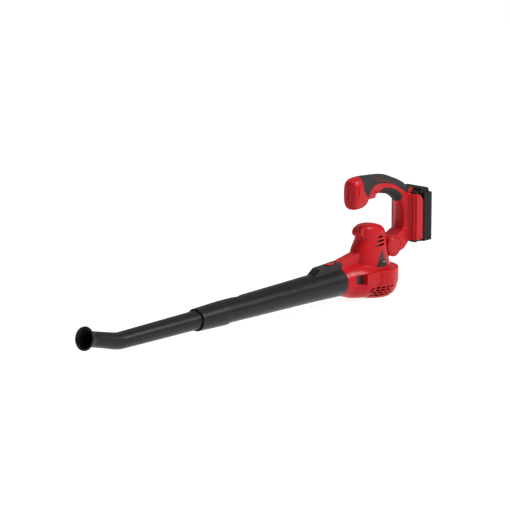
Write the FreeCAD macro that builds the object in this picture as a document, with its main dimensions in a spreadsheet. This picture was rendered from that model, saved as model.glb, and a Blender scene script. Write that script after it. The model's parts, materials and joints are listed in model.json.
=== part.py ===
"""Cordless leaf blower: fan housing with an upright motor, tube, nozzle, pivoting handle and slide battery.

Millimetres. +Z is up, -X is the way the air blows, -Y is the user's left.
The origin is on the fan's axis, at the flat foot of the intake grille that the blower stands on.
"""
import FreeCAD, Part
import Sketcher
import math
import os
import re
from FreeCAD import Vector

SIZES = {
    # fan drum, intake bowl and outlet duct
    "drum_radius": 57.0,
    "drum_low": 35.0,
    "drum_high": 57.0,
    "wall": 2.4,
    "foot_radius": 40.0,
    "outlet_x": -107.0,
    "outlet_z": 44.0,
    "outlet_radius": 29.4,
    "pod_front": -65.0,
    "pod_half": 45.5,
    "grille_slot_long": 9.0,
    "grille_slot_high": 3.2,
    "grille_sweep": 62.0,
    # motor tower, shoulder ridge and badge
    "ridge_half": 11.8,
    "ridge_rear_z": 94.0,
    "ridge_front_z": 84.5,
    "vent_high": 3.6,
    "badge_proud": 0.5,
    "badge_deep": 1.0,
    # handle pivot
    "pivot_x": 49.0,
    "pivot_z": 93.0,
    "lug_radius": 20.5,
    "lug_half": 12.0,
    "cheek_radius": 22.0,
    "cheek_in": 12.4,
    "cheek_out": 24.0,
    "pin_radius": 6.0,
    "running_gap": 0.06,
    "button_radius": 18.4,
    "button_gap": 0.3,
    # blow tube, measured forward from its rear end along its own axis
    "tube_tilt": 0.7,
    "tube_seat": -107.8,
    "tube_long": 430.0,
    "tube_rear_radius": 29.3,
    "tube_mid_radius": 26.6,
    "tube_front_radius": 22.4,
    "tube_wall": 1.9,
    "collar_start": 348.0,
    "collar_rear_radius": 24.5,
    "collar_front_radius": 22.3,
    "socket_radius": 20.5,
    "socket_start": 352.0,
    "spigot_long": 42.0,
    "spigot_radius": 27.0,
    "spigot_taper": 1.5,
    "spigot_bore": 23.2,
    # latch block on the tube and its release button
    "latch_half": 11.8,
    "latch_foot": 82.0,
    "latch_ramp_top": 62.7,
    "latch_ramp_z": 37.4,
    "latch_top_z": 40.6,
    "latch_button_at": 23.0,
    "latch_button_long": 22.0,
    "latch_button_wide": 12.0,
    # nozzle
    "nozzle_plug_radius": 20.2,
    "nozzle_radius": 18.7,
    "nozzle_bend_at": 650.0,
    "nozzle_bend_angle": 13.5,
    "nozzle_end": 744.0,
    "nozzle_tip_radius": 15.2,
    "mouth_radius": 21.6,
    "nozzle_wall": 1.6,
    # motor and fan
    "shaft_radius": 2.5,
    "can_radius": 19.6,
    "can_low": 54.0,
    "can_high": 110.0,
    "armature_radius": 14.3,
    "fan_radius": 46.0,
    "fan_low": 20.0,
    "fan_high": 46.0,
    "fan_blades": 9,
    # handle, its overmould and trigger
    "handle_wall": 3.2,
    "skin": 1.6,
    "trigger_half": 7.5,
    # battery dock and battery
    "dock_rear": 130.6,
    "dock_low": 94.5,
    "dock_high": 190.0,
    "dock_half": 33.0,
    "channel_x": 109.0,
    "channel_half": 27.8,
    "rail_half": 24.6,
    "rail_front": 120.5,
    "rail_rear": 125.5,
    "slide_gap": 0.4,
    "pack_rear": 163.0,
    "pack_half": 35.0,
    "pack_low": 89.0,
    "pack_high": 190.0,
    "pack_wall": 1.8,
    "cell_radius": 9.1,
    "cell_long": 65.0,
    # screws and the bosses of the housing
    "screw_head": 3.2,
    "screw_shank": 1.5,
    "boss_radius": 4.2,
    "housing_screw_y": 8.0,
}

doc = FreeCAD.newDocument("leaf_blower")
sheet = doc.addObject("Spreadsheet::Sheet", "Dims")
sub_parts = []


def fill_sheet():
    for row, (name, value) in enumerate(SIZES.items(), start=1):
        sheet.set(f"A{row}", name)
        sheet.set(f"B{row}", str(value))
        sheet.setAlias(f"B{row}", name)
    doc.recompute()


def bound(text):
    """An expression in the sheet's aliases, written the way the expression engine reads it."""
    def name(found):
        return "Dims." + found.group() if found.group() in SIZES else found.group()
    return re.sub(r"[a-z_]+", name, str(text))


def size(text):
    return float(sheet.evalExpression(bound(text)))


fill_sheet()


# ---------------------------------------------------------------- helpers: bodies, sketches, features

def new_body(name):
    body = doc.addObject("PartDesign::Body", name)
    body.Label = name
    sub_parts.append(body)
    return body


def sketch_on(body, plane, label):
    planes = {feature.Role: feature for feature in body.Origin.OriginFeatures}
    sketch = body.newObject("Sketcher::SketchObject", label)
    sketch.AttachmentSupport = [(planes[plane], "")]
    sketch.MapMode = "FlatFace"
    return sketch


def tie(sketch, kind, element, point, text):
    """Holds one coordinate of a sketch point to an expression of the sheet."""
    index = sketch.addConstraint(Sketcher.Constraint(kind, -1, 1, element, point, size(text)))
    sketch.setExpression(f"Constraints[{index}]", bound(text))


def draw_outline(sketch, points):
    """A closed outline of straight edges; each corner is a pair of expressions."""
    first = sketch.GeometryCount
    corners = [Vector(size(x), size(y), 0) for x, y in points]
    count = len(corners)
    for index in range(count):
        sketch.addGeometry(Part.LineSegment(corners[index], corners[(index + 1) % count]))
    for index in range(count):
        after = first + (index + 1) % count
        sketch.addConstraint(Sketcher.Constraint("Coincident", first + index, 2, after, 1))
    for index, (x, y) in enumerate(points):
        tie(sketch, "DistanceX", first + index, 1, x)
        tie(sketch, "DistanceY", first + index, 1, y)


def draw_circle(sketch, x, y, radius):
    element = sketch.addGeometry(Part.Circle(Vector(size(x), size(y), 0), Vector(0, 0, 1), size(radius)))
    tie(sketch, "DistanceX", element, 3, x)
    tie(sketch, "DistanceY", element, 3, y)
    index = sketch.addConstraint(Sketcher.Constraint("Radius", element, size(radius)))
    sketch.setExpression(f"Constraints[{index}]", bound(radius))


def revolve(body, points, axis="V_Axis", groove=False, plane="XZ_Plane"):
    kind = "PartDesign::Groove" if groove else "PartDesign::Revolution"
    sketch = sketch_on(body, plane, body.Label + "_profile")
    draw_outline(sketch, points)
    feature = body.newObject(kind, body.Label + "_turned")
    feature.Profile = sketch
    feature.ReferenceAxis = (sketch, [axis])
    feature.Angle = 360
    return feature


def extrude(body, plane, draw, length, cut=False):
    """Pads, or cuts, a sketch by the same amount on both sides of its plane."""
    kind = "PartDesign::Pocket" if cut else "PartDesign::Pad"
    sketch = sketch_on(body, plane, body.Label + "_outline")
    draw(sketch)
    feature = body.newObject(kind, body.Label + ("_cut" if cut else "_pad"))
    feature.Profile = sketch
    feature.SideType = "Symmetric"
    feature.setExpression("Length", bound(length))
    return feature


def shift(body, x=None, y=None, z=None):
    for letter, text in (("x", x), ("y", y), ("z", z)):
        if text is not None:
            body.setExpression(f".Placement.Base.{letter}", bound(text))


def turn_to_y(body):
    """Lays a body that was turned about its own Z axis along the row's Y axis."""
    body.Placement = FreeCAD.Placement(Vector(), FreeCAD.Rotation(Vector(1, 0, 0), 90))


def lay_along_tube(obj):
    """The blow tube's own frame: origin at its rear end, -X forward along the tube's slightly rising axis."""
    obj.Placement = FreeCAD.Placement(Vector(), FreeCAD.Rotation(Vector(0, 1, 0), size("tube_tilt")))
    shift(obj, "tube_seat", None, "outlet_z")


def solid_part(name, shape):
    """A sub-part with a free-form shape, worked out below from the sheet's sizes."""
    feature = doc.addObject("Part::Feature", name)
    feature.Label = name
    feature.Shape = shape
    feature.Placement = FreeCAD.Placement()
    sub_parts.append(feature)
    return feature


# ---------------------------------------------------------------- helpers: free-form shapes

def box(low, high):
    return Part.makeBox(high[0] - low[0], high[1] - low[1], high[2] - low[2], Vector(*low))


def cylinder_y(x, z, radius, low, high):
    return Part.makeCylinder(radius, high - low, Vector(x, low, z), Vector(0, 1, 0))


def cylinder_z(x, y, radius, low, high):
    return Part.makeCylinder(radius, high - low, Vector(x, y, low))


def side_prism(points, half):
    """A side-view outline of (x, z) points, as thick as 2 * half across the middle plane."""
    wire = Part.makePolygon([Vector(x, -half, z) for x, z in points + points[:1]])
    return Part.Face(wire).extrude(Vector(0, 2 * half, 0))


def plan_prism(points, low, high):
    wire = Part.makePolygon([Vector(x, y, low) for x, y in points + points[:1]])
    return Part.Face(wire).extrude(Vector(0, 0, high - low))


def ring(centre, up, side, roundness=2.0, count=20):
    """A closed smooth curve: an ellipse at roundness 2, squarer above it."""
    points = []
    for step in range(count):
        angle = 2 * math.pi * step / count
        across = math.copysign(abs(math.cos(angle)) ** (2 / roundness), math.cos(angle))
        along = math.copysign(abs(math.sin(angle)) ** (2 / roundness), math.sin(angle))
        points.append(centre + up * along + side * across)
    curve = Part.BSplineCurve()
    curve.interpolate(Points=points, PeriodicFlag=True)
    return Part.Wire(curve.toShape())


def loft(rings):
    return Part.makeLoft(rings, True, False)


def eased(stations, steps=3):
    """Adds steps - 1 stations between each pair, on a smooth curve that never overshoots the given ones."""
    rows = []
    count = len(stations)
    for index in range(count - 1):
        for step in range(steps):
            part = step / steps
            row = []
            for values in zip(*stations):
                gaps = [after - before for before, after in zip(values, values[1:])]
                slope_in = even_slope(gaps[max(index - 1, 0)], gaps[index])
                slope_out = even_slope(gaps[index], gaps[min(index + 1, count - 2)])
                rise = gaps[index]
                cubic = slope_in + slope_out - 2 * rise
                square = 3 * rise - 2 * slope_in - slope_out
                row.append(values[index] + part * (slope_in + part * (square + part * cubic)))
            rows.append(tuple(row))
    return rows + [tuple(stations[-1])]


def even_slope(before, after):
    """Slope at a station between two gaps: none at a turning point, else their harmonic mean."""
    return 0.0 if before * after <= 0 else 2 * before * after / (before + after)


def join(shapes):
    whole = shapes[0]
    for shape in shapes[1:]:
        whole = whole.fuse(shape)
    return whole


def group(shapes):
    return Part.makeCompound(shapes)


def mirrored(shape):
    return shape.mirror(Vector(), Vector(0, 1, 0))


def left_half(shape):
    """The part of a shape on the user's left (-Y) of the middle plane."""
    return shape.common(box((-250, -80, -10), (250, 0, 280)))


def pair(name, left):
    """A left piece and its mirror image, as two sub-parts."""
    left = largest(left)
    solid_part(name + "_left", left)
    solid_part(name + "_right", mirrored(left))


def turned(points, x=0.0, y=0.0):
    """A solid turned about the vertical line through x, y, from (radius, z) points."""
    wire = Part.makePolygon([Vector(x + radius, y, z) for radius, z in points + points[:1]])
    return Part.Face(wire).revolve(Vector(x, y, 0), Vector(0, 0, 1), 360)


def coil(radius, wire_radius, pitch, length, base, direction):
    """A helical spring as one solid, standing on base along direction."""
    helix = Part.makeHelix(pitch, length, radius)
    start = Part.Wire(Part.makeCircle(wire_radius, Vector(radius, 0, 0), Vector(0, 1, 0)))
    spring = Part.Wire(helix.Edges).makePipeShell([start], True, True)
    spring.Placement = FreeCAD.Placement(base, FreeCAD.Rotation(Vector(0, 0, 1), direction))
    return group([spring])


def wire_run(points, radius):
    """A wire along straight runs, with round joints at its corners."""
    shapes = []
    for start, end in zip(points, points[1:]):
        way = Vector(*end) - Vector(*start)
        shapes.append(Part.makeCylinder(radius, way.Length, Vector(*start), way))
    shapes += [Part.makeSphere(radius, Vector(*point)) for point in points[1:-1]]
    return join(shapes)


def screw(x, y, z, direction, length):
    """A pan head screw: its head's underside is at x, y, z and it points along direction."""
    place = Vector(x, y, z)
    way = Vector(*direction)
    head = Part.makeCylinder(size("screw_head"), 2.0, place - way * 2.0, way)
    recess = Part.makeCylinder(1.1, 1.2, place - way * 2.0, way)
    return head.cut(recess).fuse(Part.makeCylinder(size("screw_shank"), length, place, way))


# ---------------------------------------------------------------- housing: outer forms

def duct_form(inset):
    """The outlet duct, from socket to fan drum. Each entry: x, low z, high z, half width, roundness."""
    radius = size("outlet_radius")
    axis_z = size("outlet_z")
    stations = [(size("outlet_x"), axis_z - radius, axis_z + radius, radius, 2.0),
                (-92, 10.5, 75.0, 32.0, 2.1), (-72, 4.5, 76.0, 38.5, 2.3), (-48, 1.5, 72.0, 44.5, 2.5),
                (-20, 1.0, 64.0, 47.0, 2.6), (5, 3.0, 60.0, 44.0, 2.6), ]
    rings = []
    for x, low, high, half, roundness in eased(stations):
        centre = Vector(x, 0, (low + high) / 2)
        up = Vector(0, 0, (high - low) / 2 - inset)
        rings.append(ring(centre, up, Vector(0, half - inset, 0), roundness))
    return loft(rings)


def tower_form(inset):
    """The motor tower with its visor cap. Each entry: z, front x, rear x, half width."""
    stations = [
        (50, -60, 50, 35),
        (60, -58, 47, 32),
        (76, -56, 44, 28.5),
        (94, -53, 41.5, 26.4),
        (107, -46, 39, 24.8),
        (117, -39.5, 37, 23.6),
        (124, -39.5, 35.5, 23.2),
        (131, -41, 32.5, 22.4),
        (138, -41.5, 25, 20.4),
        (143.5, -40, 12, 17),
        (147, -36, -4, 11),
    ]
    rings = []
    for z, front, rear, half in eased(stations, 2):
        centre = Vector((front + rear) / 2, 0, z)
        along = Vector((rear - front) / 2 - inset, 0, 0)
        rings.append(ring(centre, along, Vector(0, half - inset, 0), 2.4))
    tower = loft(rings)
    if inset > 0:
        tower = tower.cut(box((-90, -60, 147 - 2 * inset), (90, 60, 160)))
    return tower


def pod_form(inset):
    """The drum's side wall: a round rear that runs forward to a square step behind each duct window."""
    radius = size("drum_radius") - inset
    front = size("pod_front") + inset
    half = size("pod_half") - inset
    low = size("drum_low")
    high = size("drum_high") - inset
    drum = cylinder_z(0, 0, radius, low, high)
    tangent = math.sqrt(radius ** 2 - 30 ** 2)
    sides = plan_prism([(front, -half), (front, half), (-30, tangent), (-30, -tangent)], low, high)
    return drum.fuse(sides)


def ridge_form(inset):
    """The prism that carries the latch block's line up to the tower."""
    front = size("outlet_x")
    rear = size("ridge_rear_z")
    top = [(front, size("ridge_front_z") - inset), (-50, rear - inset), (-30, rear + 2 - inset)]
    ridge = side_prism(top + [(-30, 56), (front, 56)], size("ridge_half") - inset)
    visor = [(-26, 120 + inset), (-39, 123.5 + inset), (-45.5 + inset, 128), (-46.5 + inset, 133),
             (-45 + inset, 138), (-40, 142.5 - inset), (-26, 144 - inset)]
    return ridge.fuse(side_prism(visor, size("ridge_half") - inset))


def lug_form(inset):
    x = size("pivot_x")
    z = size("pivot_z")
    radius = size("lug_radius") - inset
    half = size("lug_half") - inset
    lug = cylinder_y(x, z, radius, -half, half)
    return lug.fuse(box((10, -half, z - radius), (x, half, z + radius)))


def cheek_recess(inset):
    """Room for the handle's round cheeks beside the lug."""
    x = size("pivot_x")
    z = size("pivot_z")
    radius = size("cheek_radius") + 0.7 + inset
    side = cylinder_y(x, z, radius, size("lug_half") - inset, size("cheek_out") + 1.5 + inset)
    return side.fuse(mirrored(side))


def window_recess(inset):
    """The square pocket in each side of the duct, just ahead of the drum's step."""
    pocket = box((-90 - inset, 32.5 - inset, 37 - inset), (size("pod_front") + inset, 60, 56 + inset))
    return pocket.fuse(mirrored(pocket))


def bowl_form(inset):
    """The intake bowl under the drum."""
    radius = size("drum_radius") - inset
    foot = size("foot_radius") - inset
    low = size("drum_low")
    profile = [(0, inset), (foot, inset), (foot + 7.5, 6 + inset), (foot + 12.5, 14 + inset * 0.6)]
    return turned(profile + [(radius - 1.2, 26), (radius, low), (0, low)])


def housing_form(inset):
    form = join([duct_form(inset), pod_form(inset), tower_form(inset), ridge_form(inset), lug_form(inset)])
    return form.cut(cheek_recess(inset)).cut(window_recess(inset))


# ---------------------------------------------------------------- housing: the pieces

def tower_vents():
    """Slots in each flank of the tower, shorter towards the top."""
    high = size("vent_high")
    slots = []
    for row, (z, front, rear) in enumerate([(103.5, -14, 15), (111.5, -9, 15), (119.5, -4, 12)]):
        slot = box((front, 18, z - high / 2), (rear, 40, z + high / 2))
        slots += [slot, mirrored(slot)]
    return join(slots)


def badge_prism():
    """The triangular outline of the badges, as seen from the side."""
    return side_prism([(7, 92), (17, 59.5), (-19, 61.5)], 60)


def housing_screw_places():
    """Side view places of the bosses that the two shells are screwed together through."""
    return [(-36, 97), (30, 124), (-18, 137)]


def spigot():
    """The tapered sleeve that the blow tube slides over, with a flange behind the shells' front face."""
    outer = size("spigot_radius")
    back = Vector(3, 0, 0)
    forward = Vector(-1, 0, 0)
    long = size("spigot_long") + 3
    sleeve = Part.makeCone(outer, outer - size("spigot_taper"), long, back, forward)
    sleeve = sleeve.fuse(Part.makeCylinder(outer + 2, 2.4, back, forward))
    sleeve = sleeve.cut(Part.makeCylinder(size("spigot_bore"), 60, Vector(4, 0, 0), forward))
    sleeve.Placement = tube_frame()
    return sleeve


def make_housing_shells():
    wall = size("wall")
    front = size("outlet_x")
    outer = left_half(housing_form(0))
    shell = outer.cut(housing_form(wall))
    bosses = [cylinder_y(x, z, size("boss_radius"), -30, 0) for x, z in housing_screw_places()]
    shell = shell.fuse(group(bosses).common(outer))
    mouth = Part.makeCylinder(size("spigot_bore"), 12, Vector(front - 2, 0, size("outlet_z")),
                              Vector(1, 0, 0))
    shell = shell.cut(mouth)
    shell = shell.cut(bowl_form(0))
    shell = shell.cut(cylinder_z(0, 0, size("drum_radius") - wall, 30, size("drum_low") + 1))
    shell = shell.fuse(left_half(spigot()))
    bore_radius = size("pin_radius") + size("running_gap")
    shell = shell.cut(cylinder_y(size("pivot_x"), size("pivot_z"), bore_radius, -30, 30))
    shell = shell.cut(tower_vents()).cut(group(intake_slots()))
    tower_skin = left_half(tower_form(0)).cut(tower_form(size("badge_deep")))
    shell = largest(shell.cut(badge_prism().common(tower_skin)))
    solid_part("housing_left", shell)
    solid_part("housing_right", mirrored(shell).cut(join(screw_holes())))


def screw_holes():
    """The counterbored clearance holes of the right shell's bosses."""
    holes = []
    for x, z in housing_screw_places():
        holes.append(cylinder_y(x, z, size("screw_shank") + 0.2, 0, 30))
        holes.append(cylinder_y(x, z, size("screw_head") + 0.3, size("housing_screw_y"), 40))
    return holes


def largest(shape):
    """The main solid of a boolean's result, without loose slivers."""
    return max(shape.Solids, key=lambda solid: solid.Volume)


def make_badges():
    plate = left_half(tower_form(-size("badge_proud"))).cut(tower_form(size("badge_deep")))
    pair("badge", plate.common(side_prism([(6.85, 91.3), (16.5, 59.9), (-18.3, 61.8)], 60)))


def intake_slots():
    """Staggered rows of slots round each side of the bowl, long enough to pass the duct's wall too."""
    slot_long = size("grille_slot_long")
    slot_high = size("grille_slot_high")
    slots = []
    for row, z in enumerate([7.5, 13, 18.5, 24]):
        radius = 47 + row * 2.6
        pitch = math.degrees((slot_long + 2.6) / radius)
        count = int(size("grille_sweep") / pitch)
        for index in range(count):
            angle = 116 + (index - (count - 1) / 2 + 0.25 * (-1) ** row) * pitch
            slot = box((radius - 10, -slot_long / 2, z - slot_high / 2),
                       (90, slot_long / 2, z + slot_high / 2))
            slot.rotate(Vector(), Vector(0, 0, 1), angle)
            slots += [slot, mirrored(slot)]
    return slots


def make_intake_grille():
    wall = size("wall")
    low = size("drum_low")
    bowl = bowl_form(0).cut(bowl_form(wall))
    bowl = bowl.cut(cylinder_z(0, 0, size("drum_radius") - wall, low - 0.5, low + 1))
    bowl = bowl.cut(group(intake_slots()))
    solid_part("intake_grille", largest(bowl))


def make_motor():
    can = new_body("motor_can")
    revolve(can, [(8.6, "can_low"), ("can_radius", "can_low"), ("can_radius", "can_high"),
                  ("can_radius - 1.6", "can_high"), ("can_radius - 1.6", "can_low + 1.6"), (8.6,
                                                                                            "can_low + 1.6")])
    magnets = doc.addObject("Part::Feature", "motor_magnets")
    ring_out = size("can_radius") - 1.65
    arc = cylinder_z(0, 0, ring_out, 64, 98).cut(cylinder_z(0, 0, ring_out - 3, 60, 100))
    arc = arc.cut(box((-30, -7, 60), (30, 7, 100)))
    magnets.Label = "motor_magnets"
    magnets.Shape = group(arc.Solids)
    sub_parts.append(magnets)
    cap = new_body("motor_end_cap")
    revolve(cap, [(8.1, "can_high + 0.1"), ("can_radius", "can_high + 0.1"), ("can_radius", "can_high + 4"),
                  (12, "can_high + 4"), (12, "can_high + 8"), (8.1, "can_high + 8")])
    plate = new_body("motor_mount_plate")
    revolve(plate, [(8.6, 50.4), (52, 50.4), (52, 53.4), (24, 53.4), (24, 53.9), (8.6, 53.9)])
    for name, base in (("lower_bearing", 50.6), ("upper_bearing", 112.2)):
        bearing = new_body(name)
        revolve(bearing, [("shaft_radius + running_gap", base), (8, base), (8, base + 5),
                          ("shaft_radius + running_gap", base + 5)])
    brushes = []
    for side in (-1, 1):
        brush = box((8.3, -2.4, 100.5), (14.5, 2.4, 105.5))
        if side < 0:
            brush.rotate(Vector(), Vector(0, 0, 1), 180)
        brushes.append(brush)
    solid_part("motor_brushes", group(brushes))


def make_rotor():
    shaft = new_body("motor_shaft")
    revolve(shaft, [(0, 14), ("shaft_radius", 14), ("shaft_radius", 120), (0, 120)])
    armature = new_body("armature")
    revolve(armature,
            [("shaft_radius", 66), ("armature_radius", 66), ("armature_radius", 96), ("shaft_radius", 96)])
    commutator = new_body("commutator")
    revolve(commutator, [("shaft_radius", 98.5), (8, 98.5), (8, 108), ("shaft_radius", 108)])
    nut = new_body("impeller_nut")
    extrude_nut(nut)
    solid_part("impeller", impeller_shape())


def extrude_nut(nut):
    """A hexagon nut under the impeller, on the shaft's end."""
    across = 4.4
    angles = [math.radians(60 * corner) for corner in range(6)]
    corners = [(across * math.cos(angle), across * math.sin(angle)) for angle in angles]

    def draw(sketch):
        draw_outline(sketch, corners)
        draw_circle(sketch, 0, 0, "shaft_radius")
    extrude(nut, "XY_Plane", draw, 4)
    shift(nut, z="fan_low - 2.3")


def impeller_shape():
    """A centrifugal wheel: back plate, hub, curved blades and an open-eyed shroud."""
    radius = size("fan_radius")
    low = size("fan_low")
    high = size("fan_high")
    hub = turned([(size("shaft_radius"), low), (9, low), (13, high - 3), (radius, high - 2), (radius, high),
                  (size("shaft_radius"), high)])
    shroud = turned([(27, low), (30, low), (radius, low + 5), (radius, low + 6.6), (29.4, low + 1.6),
                     (27, low + 1.6)])
    blades = []
    for index in range(int(size("fan_blades"))):
        outer = cylinder_z(26, 16, 24, low + 0.8, high - 1)
        inner = cylinder_z(26, 16, 22.4, low + 0.7, high)
        blade = outer.cut(inner).common(box((6, -20, low), (radius + 5, 12, high)))
        blade.rotate(Vector(), Vector(0, 0, 1), 360 * index / size("fan_blades"))
        blades.append(blade)
    limit = turned([(8.5, low + 0.5), (28, low + 0.5), (radius - 0.2, low + 5.3), (radius - 0.2, high - 1),
                    (8.5, high - 1)])
    return largest(join([hub, shroud] + [blade.common(limit) for blade in blades]))


# ---------------------------------------------------------------- blow tube, release button and nozzle

def ramp_height(forward):
    """Height of the latch block's sloped front face above the tube's axis."""
    rise = size("latch_ramp_z") - 24.5
    return 24.5 + rise * (size("latch_foot") - forward) / (size("latch_foot") - size("latch_ramp_top"))


def make_main_tube():
    tube = doc.addObject("PartDesign::Body", "tube_core")
    revolve(tube, [(0, 0), (0, "tube_rear_radius"), ("-100", "tube_mid_radius"),
                   ("-collar_start", "tube_front_radius"), ("-collar_start", "collar_rear_radius"),
                   ("-collar_start - 10", "collar_rear_radius"), ("-tube_long + 1.2", "collar_front_radius"),
                   ("-tube_long", "collar_front_radius - 1"), ("-tube_long", 0)], axis="H_Axis")

    def latch_side(sketch):
        draw_outline(sketch, [(0, 20), ("-latch_foot", 20), ("-latch_foot", 24.5),
                              ("-latch_ramp_top", "latch_ramp_z"), (0, "latch_top_z")])
    extrude(tube, "XZ_Plane", latch_side, "2 * latch_half")

    def strip_side(sketch):
        draw_outline(sketch, [(-60, 18), (-298, 18), (-298, 23.2), (-290, 24.1), (-100, 27.6), (-60, 28.6)])
    extrude(tube, "XZ_Plane", strip_side, 11)

    def strip_slot(sketch):
        draw_outline(sketch, [(-114, 26.4), (-127, 26.2), (-127, 40), (-114, 40)])
    extrude(tube, "XZ_Plane", strip_slot, 3, cut=True)
    for index in range(6):
        forward = 66 + 2.6 * index
        add_ramp_groove(tube, forward)

    revolve(tube, [(1, 0), (1, "tube_rear_radius - tube_wall"), (-100, "tube_mid_radius - tube_wall"),
                   ("-socket_start + 12", "tube_front_radius - tube_wall"),
                   ("-socket_start + 10", "socket_radius - 2.2"), ("-socket_start", "socket_radius - 2.2"),
                   ("-socket_start", "socket_radius"), ("-tube_long - 1", "socket_radius"),
                   ("-tube_long - 1", 0)], axis="H_Axis", groove=True)
    button_well(tube)
    sleeve = doc.addObject("Part::Cylinder", "tongue_sleeve")
    sleeve.setExpression("Radius", bound("collar_rear_radius"))
    sleeve.Height = 44
    bore = doc.addObject("Part::Cylinder", "tongue_bore")
    bore.setExpression("Radius", bound("tube_front_radius - 1.4"))
    bore.Height = 60
    for item, start in ((sleeve, "-collar_start - 1"), (bore, "-collar_start - 8")):
        item.Placement = FreeCAD.Placement(Vector(), FreeCAD.Rotation(Vector(0, 1, 0), 90))
        shift(item, x=start)
    shell = doc.addObject("Part::Cut", "tongue_shell")
    shell.Base = sleeve
    shell.Tool = bore
    outline = doc.addObject("Sketcher::SketchObject", "tongue_plan")
    draw_outline(outline, [("-collar_start - 1", -17), ("-collar_start - 1", 17), ("-collar_start + 38", 0.8),
                           ("-collar_start + 38", -0.8)])
    prism = doc.addObject("Part::Extrusion", "tongue_prism")
    prism.Base = outline
    prism.DirMode = "Normal"
    prism.LengthFwd = 40
    prism.Solid = True
    tongue = doc.addObject("Part::Common", "tongue")
    tongue.Base = shell
    tongue.Tool = prism
    whole = doc.addObject("Part::Fuse", "main_tube")
    whole.Label = "main_tube"
    whole.Base = tube
    whole.Tool = tongue
    lay_along_tube(whole)
    sub_parts.append(whole)


def add_ramp_groove(tube, forward):
    """One of the cross grooves in the latch block's sloped face."""
    high = ramp_height(forward)

    def groove(sketch):
        draw_outline(sketch, [(-forward, high + 3), (-forward, high - 0.9), (-forward - 1.1, high - 1.6),
                              (-forward - 1.1, high + 3)])
    extrude(tube, "XZ_Plane", groove, "2 * latch_half - 3.4", cut=True)


def button_well(tube):
    """The stepped oval well that holds the release button and its spring."""
    def well(sketch):
        draw_outline(sketch, [("-latch_button_at + 11.4", -6.4), ("-latch_button_at + 11.4", 6.4),
                              ("-latch_button_at - 11.4", 6.4), ("-latch_button_at - 11.4", -6.4)])
    sketch = sketch_on(tube, "XY_Plane", "well_outline")
    well(sketch)
    pocket = tube.newObject("PartDesign::Pocket", "button_well")
    pocket.Profile = sketch
    pocket.Type = "Length"
    pocket.Length = 30
    sketch.AttachmentOffset = FreeCAD.Placement(Vector(0, 0, 31.0), FreeCAD.Rotation())
    pocket.Reversed = True


def oval(x, long, wide, low, high):
    """An upright solid with a rounded-end outline, centred at x on the middle plane."""
    radius = wide / 2
    run = (long - wide) / 2
    ends = [cylinder_z(x - run, 0, radius, low, high), cylinder_z(x + run, 0, radius, low, high)]
    return join(ends + [box((x - run, -radius, low), (x + run, radius, high))])


def tube_frame():
    return FreeCAD.Placement(Vector(size("tube_seat"), 0, size("outlet_z")),
                             FreeCAD.Rotation(Vector(0, 1, 0), size("tube_tilt")))


def make_tube_button():
    x = -size("latch_button_at")
    top = size("latch_top_z")
    cap = oval(x, size("latch_button_long"), size("latch_button_wide"), top - 5.4, top + 0.4)
    cap = cap.cut(oval(x, size("latch_button_long") - 4, size("latch_button_wide") - 4, top - 6, top - 2.4))
    dish = Part.makeSphere(40, Vector(x, 0, top + 39.4))
    cap = cap.cut(dish)
    button = solid_part("tube_release_button", largest(cap))
    button.Placement = tube_frame()
    spring = solid_part("tube_button_spring", coil(2.6, 0.4, 1.6, 6.2, Vector(x, 0, 31.5), Vector(0, 0, 1)))
    spring.Placement = tube_frame()


def make_nozzle():
    """A straight tapered tube whose tip bends up to a flared mouth with a rolled rim."""
    wall = size("nozzle_wall")
    bend = size("nozzle_bend_at")
    start = size("socket_start") + 4
    outer = straight_nozzle(0, start, bend - 12)
    inner = straight_nozzle(wall, start - 1, bend - 12)
    shape = outer.fuse(bent_tip(0)).cut(inner.fuse(bent_tip(wall)))
    nozzle = solid_part("nozzle", largest(shape))
    nozzle.Placement = tube_frame()


def straight_nozzle(inset, start, end):
    plug = size("nozzle_plug_radius") - inset
    neck = size("nozzle_radius") - inset
    at_bend = 16.5 - inset
    shoulder = size("tube_long") - 7
    points = [(start, plug), (shoulder - 2, plug), (shoulder, neck), (end, at_bend)]
    wire = [Vector(-start, 0, 0)] + [Vector(-x, 0, radius) for x, radius in points] + [Vector(-end, 0, 0)]
    return Part.Face(Part.makePolygon(wire + wire[:1])).revolve(Vector(), Vector(1, 0, 0), 360)


def tip_point(distance):
    """Place and heading on the tip's centre line, at a distance past the bend's start."""
    full = math.radians(size("nozzle_bend_angle"))
    run = 24.0
    turn = full * min(max((distance + 12) / run, 0), 1)
    if distance <= 12:
        radius = run / full
        forward = radius * math.sin(turn)
        up = radius * (1 - math.cos(turn))
    else:
        radius = run / full
        forward = radius * math.sin(full) + (distance - 12) * math.cos(full)
        up = radius * (1 - math.cos(full)) + (distance - 12) * math.sin(full)
    place = Vector(-(size("nozzle_bend_at") - 12 + forward), 0, up)
    return place, Vector(-math.cos(turn), 0, math.sin(turn))


def bent_tip(inset):
    """The tip from the bend's start to the mouth. Each entry: distance past the bend, radius."""
    end = size("nozzle_end") - size("nozzle_bend_at")
    flare = size("mouth_radius")
    tip = size("nozzle_tip_radius")
    stations = [(-12, 16.5), (-4, 16.3), (4, 16.1), (12, 15.9), (30, 15.5), (end - 34, tip),
                (end - 20, tip + 0.1), (end - 11, tip + 1.2), (end - 6, tip + 3)]
    if inset:
        stations += [(end + 1, flare + 0.4)]
    else:
        stations += [(end - 3.4, flare + 0.4), (end - 1.8, flare + 1.3), (end - 0.2, flare + 0.7)]
    rings = []
    for distance, radius in stations:
        place, way = tip_point(distance)
        rings.append(Part.Wire(Part.makeCircle(radius - inset, place, way)))
    return loft(rings)


# ---------------------------------------------------------------- handle: outer form

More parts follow.
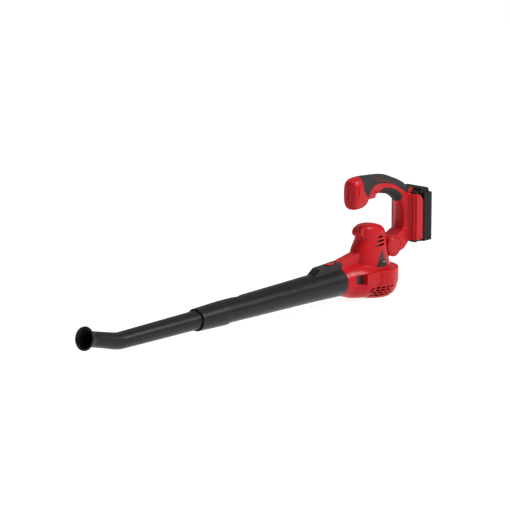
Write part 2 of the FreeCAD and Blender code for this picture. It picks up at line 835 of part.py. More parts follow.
def nose_form(inset):
    """The handle's front nose. Each entry: x, low z, high z, half width."""
    stations = [
        (-73, 196, 235, 7), (-71.4, 189, 241, 12), (-67.5, 184.8, 244.6, 15.6), (-60, 182.4, 246.8, 17.6),
        (-48, 182, 247.8, 18), (-36, 183, 247.6, 17.8), (-28.5, 186, 247.2, 17.2), (-23, 194, 246.8, 16.5),
        (-18, 206, 246, 16), (-10, 208, 245.5, 15.7),
    ]
    rings = []
    for x, low, high, half in eased(stations, 2):
        up = Vector(0, 0, (high - low) / 2 - inset)
        rings.append(ring(Vector(x, 0, (low + high) / 2), up, Vector(0, half - inset, 0), 2.8))
    return loft(rings)


def grip_form(inset):
    """The C shaped grip and column. Each entry: the outer edge's x, z, the inner edge's x, z, half width."""
    stations = [
        (-32, 247.4, -32, 208.5, 16.3), (-10, 245.8, -10, 208, 15.6), (12, 244, 13, 205, 15.8),
        (36, 240.4, 32, 201.5, 16.4), (60, 232, 50, 197.5, 16.8), (84, 222, 67, 189, 16.8),
        (103, 210, 80, 178.5, 16.2), (111.2, 191, 88, 167, 15.6), (111, 160, 91.5, 152, 15.4),
        (111, 136, 91, 137, 15.4), (110, 114, 88, 123, 15.6), (104, 98, 82, 114, 15.8),
    ]
    steps = 3
    rings = []
    for outer_x, outer_z, inner_x, inner_z, half in eased(stations, steps):
        centre = Vector((outer_x + inner_x) / 2, 0, (outer_z + inner_z) / 2)
        across = Vector(outer_x - inner_x, 0, outer_z - inner_z) / 2
        across = across * ((across.Length - inset) / across.Length)
        rings.append(ring(centre, across, Vector(0, half - inset, 0), 2.5))
    top = loft(rings[:6 * steps + 1])
    elbow = loft(rings[6 * steps:8 * steps + 1])
    column = loft(rings[8 * steps:])
    return join([top, elbow, column])


def dock_form(inset):
    """The battery dock: side plates that flare out of the column, with a raised band along their rear."""
    low = size("dock_low")
    high = size("dock_high")
    half = size("dock_half")
    rear = size("dock_rear")
    flare = [(97, 13), (100, 15.6), (102.6, 19), (104.8, 23), (106.2, 28.2), (108.4, 28.2), (110, half)]
    plan = [(x + inset, -(width - inset)) for x, width in flare] + [(rear, -(half - inset))]
    form = plan_prism(plan + [(x, -y) for x, y in reversed(plan)], low + inset, high - inset)
    side = [(60, low + inset), (rear, low + inset), (rear, high - 18), (rear - 3, high - 9 - inset),
            (rear - 9, high - 3 - inset), (rear - 17, high - inset), (60, high - inset)]
    form = form.common(side_prism(side, 80))
    face = size("channel_x") + 2.2 - inset
    crown = [(96, 182), (face, 182), (face, 200 - inset), (face - 2.4, 204.6 - inset),
             (face - 7, 206 - inset), (96, 206 - inset)]
    return form.fuse(side_prism(crown, 16 - inset))


def cheeks_form(inset):
    x = size("pivot_x")
    z = size("pivot_z")
    side = cylinder_y(x, z, size("cheek_radius") - inset, size("cheek_in") + inset, size("cheek_out") - inset)
    return side.fuse(mirrored(side))


def lug_room(inset):
    """The slot between the cheeks, for the housing's lug."""
    reach = size("cheek_in") + inset
    slot = cylinder_y(size("pivot_x"), size("pivot_z"), size("lug_radius") + 1 + inset, -reach, reach)
    return slot.fuse(box((0, -reach, 60), (size("pivot_x"), reach, 125)))


def neck_form(inset):
    """Carries the cheeks' full width back into the column."""
    x = size("pivot_x")
    z = size("pivot_z")
    points = [(x + 2, z + 20 - inset), (68, 111.5 - inset), (84, 118 - inset), (100 - inset, 122),
              (110 - inset, 104), (103 - inset, 90 + inset), (90 - inset, 79 + inset), (66, 74 + inset),
              (x + 2, z - 20 + inset)]
    return side_prism(points, 16 - inset)


def handle_form(inset):
    pivot = neck_form(inset).cut(lug_room(inset))
    pivot = join([pivot] + cheeks_form(inset).Solids + [dock_form(inset)])
    return join([pivot, grip_form(inset), nose_form(inset)])


# ---------------------------------------------------------------- handle: the pieces

def upper_region():
    """Side view of the soft upper grip: a pointed lobe at the front, then a band along the top."""
    points = [(-44, 262), (-45, 240), (-44, 222), (-37, 213.5), (-30, 205), (-26, 205), (-18, 216),
              (-9, 224), (2, 227), (19, 226), (39, 223), (62, 214.5), (81, 204.5), (95, 195), (102, 193),
              (105, 202), (116, 203), (104, 224), (60, 250), (20, 262)]
    return side_prism(points, 40)


def palm_region():
    """Side view of the soft insert under the fingers."""
    points = [(16, 190), (16, 212), (24, 216), (40, 213.5), (62, 206), (77, 197), (85, 188), (84, 180),
              (74, 172), (60, 170), (40, 186)]
    return side_prism(points, 40)


def channel():
    """The open slot of the dock that the battery's tongue slides in, with a rail on each side."""
    x = size("channel_x") + 2.4
    half = size("channel_half")
    low = 60
    high = 260
    slot = box((x, -half, low), (size("dock_rear") + 1, half, high))
    for side in (-1, 1):
        inner = size("rail_half")
        edges = sorted((side * inner, side * (half + 1)))
        slot = slot.cut(box((size("rail_front"), edges[0], low), (size("rail_rear"), edges[1], high)))
    return slot


def make_handle_shells():
    wall = size("handle_wall")
    outer = left_half(handle_form(0))
    skin = outer.cut(handle_form(size("skin")))
    upper = skin.common(upper_region())
    palm = skin.common(palm_region())
    shell = outer.cut(upper).cut(palm)
    for cavity in handle_cavities(wall):
        shell = shell.cut(cavity)
    shell = shell.cut(channel()).cut(trigger_opening())
    shell = shell.cut(terminal_block()).cut(join(terminal_blades().Solids))
    x = size("pivot_x")
    z = size("pivot_z")
    room = size("button_radius") + size("button_gap")
    shell = shell.cut(cylinder_y(x, z, size("pin_radius"), -size("cheek_out") + 4, 0))
    shell = shell.cut(cylinder_y(x, z, room, -size("cheek_out") - 1, -size("cheek_in") - wall))
    pair("handle", shell)
    pair("upper_grip", upper)
    pair("palm_insert", palm)


def handle_cavities(wall):
    """The hollows of the nose, grip, neck and cheeks, each cut on its own."""
    neck = neck_form(wall).cut(lug_room(wall))
    nose = nose_form(wall).common(box((-69, -50, 150), (-30, 50, 280)))
    return [nose, grip_form(wall), neck] + cheeks_form(wall).Solids


def trigger_opening():
    half = size("trigger_half") + 0.6
    return box((-17.6, -half, 196), (14.6, half, 218))


def make_trigger():
    half = size("trigger_half")
    trigger = new_body("trigger")

    def side(sketch):
        draw_outline(sketch, [(-16.6, 213), (-16.6, 199), (-14, 197), (4.5, 197), (7, 199.2), (7.6, 203.5),
                              (13.6, 204.6), (13.6, 213)])
    extrude(trigger, "XZ_Plane", side, "2 * trigger_half")
    spring = coil(2.6, 0.45, 2.2, 8, Vector(-2, 0, 213.6), Vector(0, 0, 1))
    solid_part("trigger_spring", spring)
    module = new_body("switch_module")

    def box_side(sketch):
        draw_outline(sketch, [(-14, 222.5), (16, 222.5), (16, 236), (-14, 236)])
    extrude(module, "XZ_Plane", box_side, 15)


def make_pivot():
    pin = new_body("pivot_pin")
    revolve(pin, [(3.6, -18.4), ("pin_radius", -18.4), ("pin_radius", 18.4), (3.6, 18.4)])
    turn_to_y(pin)
    shift(pin, "pivot_x", None, "pivot_z")
    outer = "button_radius"
    button = new_body("pivot_button")
    revolve(button, [(0, "cheek_out - 1.8"), (0, "cheek_out + 0.6"),
                     ("button_radius - 2", "cheek_out + 0.6"), (outer, "cheek_out - 0.6"),
                     (outer, "cheek_out - 4.6"), ("button_radius - 1.8", "cheek_out - 4.6"),
                     ("button_radius - 1.8", "cheek_out - 1.8")])
    turn_to_y(button)
    shift(button, "pivot_x", None, "pivot_z")
    cap = new_body("pivot_cap")
    revolve(cap, [(0, "-cheek_out + 1.8"), (0, "-cheek_out - 0.6"), ("button_radius - 2", "-cheek_out - 0.6"),
                  (outer, "-cheek_out + 0.6"), (outer, "-cheek_in - handle_wall"),
                  ("button_radius - 1.8", "-cheek_in - handle_wall"), ("button_radius - 1.8",
                                                                       "-cheek_out + 1.8")])
    turn_to_y(cap)
    shift(cap, "pivot_x", None, "pivot_z")
    start = Vector(size("pivot_x"), -size("cheek_in") - size("handle_wall") - 0.5, size("pivot_z"))
    solid_part("pivot_button_spring", coil(size("pin_radius") + 2, 0.5, 1.8, 5.4, start, Vector(0, -1, 0)))


# ---------------------------------------------------------------- battery

def pack_form(inset):
    """Rear block with a stepped, chamfered top, and the tongue that slides in the dock."""
    rear = size("pack_rear") - inset
    half = size("pack_half") - inset
    low = size("pack_low") + inset
    high = size("pack_high") - inset
    front = size("dock_rear") + size("slide_gap") + inset
    side = [(front, low + 0.5), (rear - 7, low), (rear, low + 7), (rear, high - 10),
            (rear - 4, high - 2), (rear - 9, high),
            (front, high)]
    block = side_prism(side, half)
    plan = [(front - 1, -half + 2), (front + 2, -half), (rear - 6, -half), (rear, -half + 7),
            (rear, half - 7), (rear - 6, half), (front + 2, half), (front - 1, half - 2)]
    block = block.common(plan_prism(plan, low - 1, high + 1))
    hump = side_prism([(front + 2, high - 6), (front + 2, high + 7), (front + 5, high + 8),
                       (rear - 10, high + 8), (rear - 6, high + 6), (rear - 3, high - 2),
                       (rear - 3, high - 6)], 26 - inset)
    tongue_half = size("channel_half") - size("slide_gap") - inset
    tongue_front = size("channel_x") + 2.4 + size("slide_gap") + inset
    tongue = box((tongue_front, -tongue_half, low), (front + 4, tongue_half, high + 3))
    return join([block, hump, tongue])


def rail_grooves():
    gap = size("slide_gap")
    shapes = []
    for side in (-1, 1):
        edges = sorted((side * (size("rail_half") - gap), side * (size("channel_half") + 5)))
        shapes.append(box((size("rail_front") - gap, edges[0], 60), (size("rail_rear") + gap, edges[1], 210)))
    return join(shapes)


def terminal_slots():
    shapes = [box((100, y - 1.4, 60), (119, y + 1.4, 128)) for y in (-11, 0, 11)]
    return join(shapes)


def make_battery():
    wall = size("pack_wall")
    inner = pack_form(wall)
    liner = box((100, -40, 60), (128.6, 40, 230))
    shell = pack_form(0).cut(inner.cut(liner))
    shell = shell.cut(rail_grooves()).cut(terminal_slots()).cut(box((121.5, -20, 92), (129, 20, 177)))
    well = box((114, -9.6, 180), (127.4, 9.6, 230))
    shell = shell.cut(well)
    seam = size("dock_rear") + 12
    front = shell.common(box((0, -80, 0), (seam, 80, 300)))
    rear = shell.common(box((seam, -80, 0), (300, 80, 300)))
    solid_part("battery_front_case", largest(front))
    solid_part("battery_rear_case", largest(rear))
    cells = []
    pitch = 2 * size("cell_radius") + 0.5
    for index in range(5):
        z = size("pack_low") + wall + 10.4 + index * pitch
        cells.append(cylinder_y(146.3, z, size("cell_radius"), -size("cell_long") / 2, size("cell_long") / 2))
    solid_part("battery_cells", group(cells))
    board = new_body("battery_board")

    def plate(sketch):
        draw_outline(sketch, [(135.5, 98), (137.1, 98), (137.1, 182), (135.5, 182)])
    extrude(board, "XZ_Plane", plate, 50)
    clips = [box((121.6, y - 2.5, 108), (127, y + 2.5, 122)) for y in (-11, 0, 11)]
    solid_part("battery_terminals", group(clips))
    button = box((114.4, -9.2, 188), (127, 9.2, 198.6))
    button = button.cut(box((116.4, -7.2, 186), (125, 7.2, 195.6)))
    ribs = [box((113, y - 0.6, 198), (129, y + 0.6, 200)) for y in (-6, -3, 0, 3, 6)]
    button = button.cut(group(ribs))
    solid_part("battery_release_button", largest(button))
    solid_part("battery_button_spring", coil(3.4, 0.5, 2.4, 14.2, Vector(120.7, 0, 180.8), Vector(0, 0, 1)))


# ---------------------------------------------------------------- inner trim: boards, wires and screws

def terminal_block():
    x = size("channel_x")
    return box((x - 4, -17, 98), (x - 0.3, 17, 126))


def terminal_blades():
    x = size("channel_x")
    return group([box((x - 0.3, y - 0.4, 104), (x + 8, y + 0.4, 120)) for y in (-11, 0, 11)])


def make_terminals():
    solid_part("terminal_block", terminal_block())
    solid_part("terminal_blades", terminal_blades())


def make_boards_and_wires():
    board = new_body("speed_control_board")

    def plate(sketch):
        draw_outline(sketch, [(-44, 226), (-18, 226), (-18, 227.6), (-44, 227.6)])
    extrude(board, "XZ_Plane", plate, 20)
    handle_route = [(18, 230), (48, 222), (78, 205), (96, 180), (101, 150), (103, 127)]
    motor_route = [(12, 119.5), (26, 112), (34, 101), (42, 97)]
    sets = (("handle_wires", handle_route, 4, 1.0), ("motor_wires", motor_route, 3.5, 0.9))
    for name, route, apart, radius in sets:
        runs = [wire_run([(x, y, z) for x, z in route], radius) for y in (-apart, apart)]
        solid_part(name, group(runs))


def make_screws():
    shapes = [screw(x, size("housing_screw_y"), z, (0, -1, 0), 15) for x, z in housing_screw_places()]
    solid_part("housing_screws", group(shapes))
    mounts = [screw(28 * math.cos(a), 28 * math.sin(a), 53.4, (0, 0, -1), 3)
              for a in [math.radians(d) for d in (45, 135, 225, 315)]]
    solid_part("motor_plate_screws", group(mounts))


def check_and_write():
    doc.recompute()
    problems = []
    for item in doc.Objects:
        if "Invalid" in item.State or "Error" in item.State:
            problems.append(f"{item.Label}: {item.State}")
    for item in sub_parts:
        if item.Shape.isNull() or not item.Shape.isValid() or item.Shape.Volume <= 0:
            problems.append(f"{item.Label}: bad shape")
    if problems:
        raise RuntimeError("; ".join(problems))
    os.makedirs("parts", exist_ok=True)
    for item in sub_parts:
        item.Shape.exportStep(f"parts/{item.Label}.step")
        bounds = item.Shape.BoundBox
        print(f"{item.Label}: {len(item.Shape.Solids)} solid(s), {item.Shape.Volume / 1000:.2f} cm3, "
              f"X {bounds.XMin:.1f}..{bounds.XMax:.1f} Y {bounds.YMin:.1f}..{bounds.YMax:.1f} "
              f"Z {bounds.ZMin:.1f}..{bounds.ZMax:.1f}")


make_housing_shells()
make_badges()
make_intake_grille()
make_motor()
make_rotor()
make_main_tube()
make_tube_button()
make_nozzle()
make_handle_shells()
make_trigger()
make_pivot()
make_battery()
make_terminals()
make_boards_and_wires()
make_screws()
check_and_write()
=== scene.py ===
"""Looks of the cordless leaf blower: studio, moulded shells with soft edges, plastics, rubber and metal."""
import json
import math

import bmesh
import bpy
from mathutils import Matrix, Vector


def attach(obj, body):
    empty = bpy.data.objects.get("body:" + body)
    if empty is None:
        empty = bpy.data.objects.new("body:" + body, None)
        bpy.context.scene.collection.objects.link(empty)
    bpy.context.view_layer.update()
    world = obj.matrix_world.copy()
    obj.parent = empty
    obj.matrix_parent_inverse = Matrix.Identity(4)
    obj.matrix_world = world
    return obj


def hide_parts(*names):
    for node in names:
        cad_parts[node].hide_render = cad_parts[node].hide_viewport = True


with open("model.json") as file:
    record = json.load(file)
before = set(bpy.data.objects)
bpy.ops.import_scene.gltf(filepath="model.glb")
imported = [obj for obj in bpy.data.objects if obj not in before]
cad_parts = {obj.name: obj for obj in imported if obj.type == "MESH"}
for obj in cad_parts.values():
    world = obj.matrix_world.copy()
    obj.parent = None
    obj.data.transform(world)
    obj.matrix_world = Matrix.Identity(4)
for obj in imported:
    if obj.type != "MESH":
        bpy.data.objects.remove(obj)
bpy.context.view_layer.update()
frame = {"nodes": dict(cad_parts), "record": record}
nodes = frame["nodes"]
MM = 0.001
WELD = 0.005 * MM


# ---------------------------------------------------------------- camera, light and floor

def aimed(obj, place, way):
    obj.location = place
    obj.rotation_euler = Vector(way).to_track_quat("-Z", "Y").to_euler()
    bpy.context.scene.collection.objects.link(obj)
    return obj


def make_camera():
    data = bpy.data.cameras.new("camera")
    data.lens = 247.06
    data.sensor_width = 36
    data.clip_end = 100
    camera = aimed(bpy.data.objects.new("camera", data), (-5.404, -4.231, 1.696), (0.7456, 0.6256, -0.2294))
    bpy.context.scene.camera = camera


def area_light(name, place, target, across, power):
    data = bpy.data.lights.new(name, "AREA")
    data.shape = "DISK"
    data.size = across
    data.energy = power
    aimed(bpy.data.objects.new(name, data), place, Vector(target) - Vector(place))


def make_studio():
    area_light("key", (1.5, -2.8, 2.2), (-0.1, 0, 0.1), 1.1, 112)
    area_light("top", (-0.2, -0.2, 2.8), (-0.2, 0, 0.1), 0.9, 30)
    area_light("rim", (0.6, 3.0, 1.8), (-0.2, 0, 0.1), 1.2, 24)
    world = bpy.data.worlds.new("studio")
    world.use_nodes = True
    background = world.node_tree.nodes["Background"]
    background.inputs["Color"].default_value = (1, 1, 1, 1)
    background.inputs["Strength"].default_value = 0.32
    bpy.context.scene.world = world
    bpy.context.scene.view_settings.view_transform = "Standard"
    mesh = bpy.data.meshes.new("floor")
    reach = 9
    corners = [(-reach, -reach, 0), (reach, -reach, 0), (reach, reach, 0), (-reach, reach, 0)]
    mesh.from_pydata(corners, [], [(0, 1, 2, 3)])
    floor = bpy.data.objects.new("floor", mesh)
    bpy.context.scene.collection.objects.link(floor)
    material = Surface("light_table")
    material.set("Base Color", (0.25, 0.25, 0.25, 1))
    material.set("Emission Color", (1, 1, 1, 1))
    material.set("Emission Strength", 0.88)
    material.set("Roughness", 0.9)
    material.set("Specular IOR Level", 0.1)
    mesh.materials.append(material.data)


# ---------------------------------------------------------------- materials

EDGE_WEAR = 0.06
GRAIN_DEPTH = 0.12 * MM
RUBBER_BLACK = (0.023, 0.021, 0.020)


class Surface:
    """A procedural material on object coordinates, with short calls for its nodes."""

    def __init__(self, name):
        self.data = bpy.data.materials.new(name)
        self.data.use_nodes = True
        self.tree = self.data.node_tree
        self.shader = self.tree.nodes["Principled BSDF"]
        self.place = self.tree.nodes.new("ShaderNodeTexCoord").outputs["Object"]

    def set(self, socket, value):
        self.shader.inputs[socket].default_value = value

    def link(self, output, target):
        self.tree.links.new(output, target)

    def feed(self, socket, output):
        self.link(output, self.shader.inputs[socket])

    def noise(self, scale, detail=3.0, stretch=(1, 1, 1)):
        mapping = self.tree.nodes.new("ShaderNodeMapping")
        mapping.inputs["Scale"].default_value = stretch
        self.link(self.place, mapping.inputs["Vector"])
        noise = self.tree.nodes.new("ShaderNodeTexNoise")
        noise.inputs["Scale"].default_value = scale
        noise.inputs["Detail"].default_value = detail
        self.link(mapping.outputs["Vector"], noise.inputs["Vector"])
        return noise.outputs["Fac"]

    def ramp(self, value, low, high, start=0.0, end=1.0):
        """Maps a value from start..end to low..high, both numbers."""
        node = self.tree.nodes.new("ShaderNodeMapRange")
        for socket, number in zip(("From Min", "From Max", "To Min", "To Max"), (start, end, low, high)):
            node.inputs[socket].default_value = number
        self.link(value, node.inputs["Value"])
        return node.outputs["Result"]

    def mix(self, factor, first, second):
        node = self.tree.nodes.new("ShaderNodeMix")
        node.data_type = "RGBA"
        self.link(factor, node.inputs[0])
        for socket, colour in ((node.inputs[6], first), (node.inputs[7], second)):
            if isinstance(colour, tuple):
                socket.default_value = (*colour, 1)
            else:
                self.link(colour, socket)
        return node.outputs[2]

    def math(self, operation, *values):
        """A math node on numbers and outputs."""
        node = self.tree.nodes.new("ShaderNodeMath")
        node.operation = operation
        for socket, value in zip(node.inputs, values):
            if isinstance(value, (int, float)):
                socket.default_value = value
            else:
                self.link(value, socket)
        return node.outputs[0]

    def near(self, value, target, reach):
        """1 where value is less than reach away from target, and 0 elsewhere."""
        return self.math("LESS_THAN", self.math("ABSOLUTE", self.math("SUBTRACT", value, target)), reach)

    def coordinates(self):
        """The object's x, y and z in metres."""
        split = self.tree.nodes.new("ShaderNodeSeparateXYZ")
        self.link(self.place, split.inputs["Vector"])
        return split.outputs

    def edges(self, start, end):
        """How far a point stands out on a convex edge, from 0 to 1."""
        geometry = self.tree.nodes.new("ShaderNodeNewGeometry")
        return self.ramp(geometry.outputs["Pointiness"], 0.0, 1.0, start, end)

    def bump(self, height, strength, distance, rounding=0.0):
        bump = self.tree.nodes.new("ShaderNodeBump")
        bump.inputs["Strength"].default_value = strength
        bump.inputs["Distance"].default_value = distance
        self.link(height, bump.inputs["Height"])
        if rounding:
            bevel = self.tree.nodes.new("ShaderNodeBevel")
            bevel.samples = 6
            bevel.inputs["Radius"].default_value = rounding
            self.link(bevel.outputs["Normal"], bump.inputs["Normal"])
        self.feed("Normal", bump.outputs["Normal"])


def moulded_plastic(name, colour, roughness, grain=0.25, grain_scale=2600, rounding=0.6 * MM, gloss=0.25):
    """Textured injection moulding: fine grain, faint mottling, and a little paler where edges are rubbed."""
    surface = Surface(name)
    mottle = surface.noise(28, 4)
    fine = surface.noise(grain_scale, 2)
    dark = tuple(value * 0.9 for value in colour)
    pale = tuple(value * (1 + EDGE_WEAR) + EDGE_WEAR * 0.06 for value in colour)
    body = surface.mix(surface.ramp(mottle, 0, 1, 0.35, 0.65), dark, colour)
    rubbed = surface.edges(0.505, 0.56)
    surface.feed("Base Color", surface.mix(rubbed, body, pale))
    smudges = surface.noise(120, 5)
    surface.feed("Roughness", surface.ramp(smudges, roughness - 0.05, roughness + 0.07, 0.3, 0.7))
    surface.bump(fine, grain, GRAIN_DEPTH, rounding)
    surface.set("Specular IOR Level", gloss)
    return surface.data


def grip_line(surface):
    """Where a thin red line runs in the upper grip: a short slant at the front, then an arc to the rear."""
    x, _, z = surface.coordinates()
    half = 0.55 * MM
    centre_x, centre_z, radius = -1.8 * MM, 112.6 * MM, 120.7 * MM
    bend_x, bend_z, slope = 6 * MM, 233 * MM, -1.45
    across = surface.math("SUBTRACT", x, centre_x)
    up = surface.math("SUBTRACT", z, centre_z)
    squares = surface.math("ADD", surface.math("POWER", across, 2), surface.math("POWER", up, 2))
    arc = surface.near(surface.math("SQRT", squares), radius, half)
    rear = surface.math("MULTIPLY", arc, surface.math("GREATER_THAN", x, bend_x - half))
    line = surface.math("ADD", surface.math("MULTIPLY", surface.math("SUBTRACT", x, bend_x), slope), bend_z)
    slant = surface.near(z, line, half * math.hypot(1, slope))
    front = surface.math("MULTIPLY", slant, surface.math("GREATER_THAN", z, bend_z - half))
    return surface.math("MAXIMUM", rear, front)


def soft_rubber(name, colour, line_colour=None):
    """Overmoulded grip: matt, with small stipples and a little dust in them."""
    surface = Surface(name)
    stipple = surface.tree.nodes.new("ShaderNodeTexVoronoi")
    stipple.inputs["Scale"].default_value = 900
    surface.link(surface.place, stipple.inputs["Vector"])
    dust = surface.ramp(surface.noise(40, 5), 0, 0.35, 0.45, 0.75)
    body = surface.mix(dust, colour, tuple(value * 1.5 + 0.01 for value in colour))
    if line_colour:
        body = surface.mix(grip_line(surface), body, line_colour)
    surface.feed("Base Color", body)
    surface.feed("Roughness", surface.ramp(surface.noise(150, 4), 0.58, 0.78, 0.3, 0.7))
    surface.bump(stipple.outputs["Distance"], 0.35, 0.2 * MM, 0.6 * MM)
    surface.set("Specular IOR Level", 0.2)
    return surface.data


def metal(name, colour, roughness, stretch=(1, 1, 1)):
    """Turned or drawn metal with fine marks and small spots of tarnish."""
    surface = Surface(name)
    marks = surface.noise(1500, 3, stretch)
    tarnish = surface.ramp(surface.noise(60, 5), 0, 0.5, 0.5, 0.8)
    surface.feed("Base Color", surface.mix(tarnish, colour, tuple(value * 0.6 for value in colour)))
    surface.feed("Roughness", surface.ramp(marks, roughness - 0.08, roughness + 0.12, 0.3, 0.7))
    surface.bump(marks, 0.15, 0.05 * MM, 0.2 * MM)
    surface.set("Metallic", 1.0)
    return surface.data


def badge_face(name, colour, mark):
    """Glossy dark plate with one small plain bar printed low on it."""
    surface = Surface(name)
    x, _, z = surface.coordinates()
    wide = surface.near(x, 7 * MM, 2.2 * MM)
    high = surface.near(z, 69.3 * MM, 1.1 * MM)
    surface.feed("Base Color", surface.mix(surface.math("MULTIPLY", wide, high), colour, mark))
    surface.feed("Roughness", surface.ramp(surface.noise(120, 5), 0.16, 0.28, 0.3, 0.7))
    surface.bump(surface.noise(2600, 2), 0.05, GRAIN_DEPTH, 0.6 * MM)
    surface.set("Specular IOR Level", 0.4)
    return surface.data


def make_materials():
    """One material for each of the record's material slots, and one for the lined upper grip."""
    return {
        "housing_red": moulded_plastic("red_shell", (0.45, 0.0055, 0.010), 0.33, grain=0.12, rounding=0,
                                       gloss=0.18),
        "red_control": moulded_plastic("red_control", (0.46, 0.008, 0.012), 0.30, grain=0.12),
        "black_plastic": moulded_plastic("black_shell", (0.014, 0.014, 0.015), 0.42),
        "tube_black": moulded_plastic("tube_shell", (0.009, 0.0088, 0.0088), 0.33, grain=0.3,
                                      grain_scale=1900, rounding=0.9 * MM, gloss=0.2),
        "battery_black": moulded_plastic("battery_shell", (0.006, 0.006, 0.0065), 0.40, grain=0.4, rounding=0,
                                         gloss=0.16),
        "badge": badge_face("badge_face", (0.016, 0.013, 0.013), (0.5, 0.47, 0.46)),
        "fan_plastic": moulded_plastic("fan_plastic", (0.05, 0.05, 0.055), 0.4),
        "switch_plastic": moulded_plastic("switch_plastic", (0.06, 0.06, 0.065), 0.3),
        "board": moulded_plastic("circuit_board", (0.02, 0.16, 0.06), 0.3, grain=0.1),
        "cell_can": metal("cell_can", (0.72, 0.73, 0.75), 0.3),
        "wire": moulded_plastic("wire_insulation", (0.4, 0.02, 0.02), 0.4, grain=0.05),
        "carbon": moulded_plastic("carbon", (0.02, 0.02, 0.02), 0.7),
        "soft_grip": soft_rubber("soft_grip", RUBBER_BLACK),
        "upper_grip": soft_rubber("upper_grip", RUBBER_BLACK, line_colour=(0.25, 0.008, 0.011)),
        "steel": metal("steel", (0.62, 0.62, 0.63), 0.28),
        # Zinc plate, its colour darkened as painted shade so that the motor can seen through the vents reads
        # as the shaded inside of the tower.
        "zinc": metal("zinc_plate_shade_darkened", (0.30, 0.30, 0.31), 0.42),
        "magnet": metal("magnet", (0.16, 0.16, 0.17), 0.5),
        "copper": metal("copper", (0.78, 0.4, 0.24), 0.3, (1, 1, 6)),
        "contact_brass": metal("contact_brass", (0.82, 0.66, 0.34), 0.3),
    }


def dress_cad_nodes(materials):
    for entry in frame["record"]["subparts"]:
        mesh = nodes[entry["node"]].data
        mesh.materials.clear()
        mesh.materials.append(materials[entry["material_slot"]])


# ---------------------------------------------------------------- moulded shells with rounded edges

SHARPEST_BARREL = math.radians(24)


def apply_modifiers(obj):
    bpy.context.view_layer.update()
    evaluated = obj.evaluated_get(bpy.context.evaluated_depsgraph_get())
    mesh = bpy.data.meshes.new_from_object(evaluated)
    obj.modifiers.clear()
    obj.data = mesh


def add_piece(name, mesh, body, material):
    obj = bpy.data.objects.new(name, mesh)
    bpy.context.scene.collection.objects.link(obj)
    mesh.materials.clear()
    mesh.materials.append(material)
    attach(obj, body)
    return obj


def welded_copy(node):
    """A CAD node's mesh as one closed surface, without its stored normals."""
    work = bmesh.new()
    work.from_mesh(nodes[node].data)
    bmesh.ops.remove_doubles(work, verts=work.verts, dist=WELD)
    points = [tuple(vertex.co) for vertex in work.verts]
    faces = [[vertex.index for vertex in face.verts] for face in work.faces]
    work.free()
    mesh = bpy.data.meshes.new(node + "_copy")
    mesh.from_pydata(points, [], faces)
    mesh.update()
    return mesh


def replacement(node, materials):
    """A copy of a CAD node, on the same body and in the same slot, that is shown in its place."""
    slot = next(entry["material_slot"] for entry in frame["record"]["subparts"] if entry["node"] == node)
    body = next(name for name, members in frame["record"]["behaviour"]["bodies"].items() if node in members)
    look = "upper_grip" if node.startswith("upper_grip") else slot
    piece = add_piece(node + "_shell", welded_copy(node), body, materials[look])
    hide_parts(node)
    return piece


def smooth_copy(node, materials):
    """Smooth barrels with crisp corners."""
    piece = replacement(node, materials)
    piece.data.shade_smooth()
    piece.data.set_sharp_from_angle(angle=SHARPEST_BARREL)


def box_mesh(low, high):
    """A box between two corners in mm."""
    work = bmesh.new()
    bmesh.ops.create_cube(work, size=1)
    for vertex in work.verts:
        vertex.co = [(low[i] + high[i]) / 2 * MM + vertex.co[i] * (high[i] - low[i]) * MM for i in range(3)]
    mesh = bpy.data.meshes.new("box")
    work.to_mesh(mesh)
    work.free()
    return mesh


def cut_grooves(piece, boxes):
    for low, high in boxes:
        tool = bpy.data.objects.new("cutter", box_mesh(low, high))
        bpy.context.scene.collection.objects.link(tool)
        cut = piece.modifiers.new("groove", "BOOLEAN")
        cut.operation = "DIFFERENCE"
        cut.solver = "EXACT"
        cut.object = tool
        apply_modifiers(piece)
        bpy.data.objects.remove(tool)


def moulded(node, voxel, passes, keep, materials):
    """A shell with rounded edges that stands for a CAD node. Thinning leaves the share keep of its faces."""
    piece = replacement(node, materials)
    cut_grooves(piece, GROOVES.get(node, []))
    remesh = piece.modifiers.new("remesh", "REMESH")
    remesh.mode = "VOXEL"
    remesh.voxel_size = voxel
    remesh.use_smooth_shade = True
    smooth = piece.modifiers.new("smooth", "SMOOTH")
    smooth.factor = 0.5
    smooth.iterations = passes
    thin = piece.modifiers.new("thin", "DECIMATE")
    thin.ratio = keep
    apply_modifiers(piece)
    piece.data.shade_smooth()


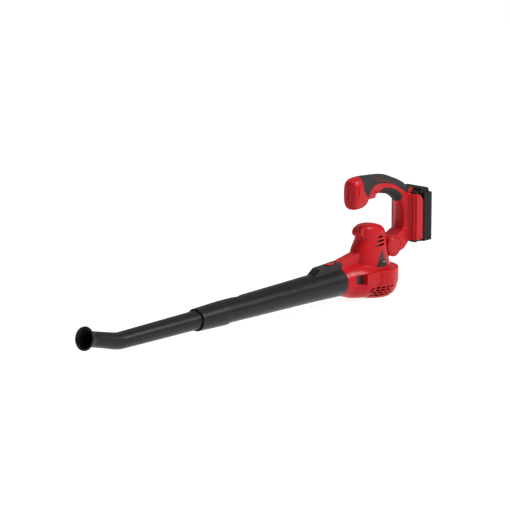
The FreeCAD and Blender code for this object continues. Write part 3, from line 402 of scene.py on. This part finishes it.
def both_sides(boxes):
    """The same grooves for the left piece and, mirrored, for the right one."""
    right = [((low[0], -high[1], low[2]), (high[0], -low[1], high[2])) for low, high in boxes]
    return boxes, right


# The nose's wide seam and side groove, and the small square hole at the dock's rear foot, in mm.
HANDLE_GROOVES = both_sides([
    ((-80, -1.3, 204), (-70.6, 1, 241)),
    ((-61.2, -20, 211), (-58.6, -15.2, 232)),
    ((118, -34, 95.8), (122.2, -30.4, 99.8)),
])
GROOVES = {"handle_left": HANDLE_GROOVES[0], "handle_right": HANDLE_GROOVES[1]}

SHELLS = {
    # node: voxel in mm, smoothing passes, share of faces kept
    "housing_left": (0.8, 5, 0.35),
    "housing_right": (0.8, 5, 0.35),
    "intake_grille": (0.6, 3, 0.4),
    "handle_left": (0.8, 5, 0.35),
    "handle_right": (0.8, 5, 0.35),
    "upper_grip_left": (0.5, 3, 0.5),
    "upper_grip_right": (0.5, 3, 0.5),
    "palm_insert_left": (0.5, 3, 0.5),
    "palm_insert_right": (0.5, 3, 0.5),
    "battery_front_case": (0.8, 4, 0.35),
    "battery_rear_case": (0.8, 6, 0.35),
    "battery_release_button": (0.4, 4, 0.6),
    "tube_release_button": (0.3, 4, 0.6),
    "trigger": (0.4, 6, 0.6),
    "pivot_button": (0.5, 4, 0.6),
    "pivot_cap": (0.5, 4, 0.6),
}


def add_pocket_shade_pads(materials):
    """A dark pad of painted shade on the floor of the square pocket in each side of the duct, standing in for
    the pocket's shadow.
    """
    # Dark sheets of painted shade: they darken the pockets as their shadow would.
    for name, low, high in (("pocket_shade_pad_left", -33.1, -32.2), ("pocket_shade_pad_right", 32.2, 33.1)):
        mesh = box_mesh((-84, low, 38), (-59.5, high, 55))
        add_piece(name, mesh, "housing", materials["black_plastic"])


def make_shells(materials):
    """Rounded shells, the dark pads of painted shade in the pockets, and smoothed copies of the long parts
    that keep their exact shape.
    """
    for node, (voxel, passes, keep) in SHELLS.items():
        moulded(node, voxel * MM, passes, keep, materials)
    add_pocket_shade_pads(materials)
    for node in ("main_tube", "nozzle", "badge_left", "badge_right"):
        smooth_copy(node, materials)


make_camera()
make_studio()
materials = make_materials()
dress_cad_nodes(materials)
make_shells(materials)
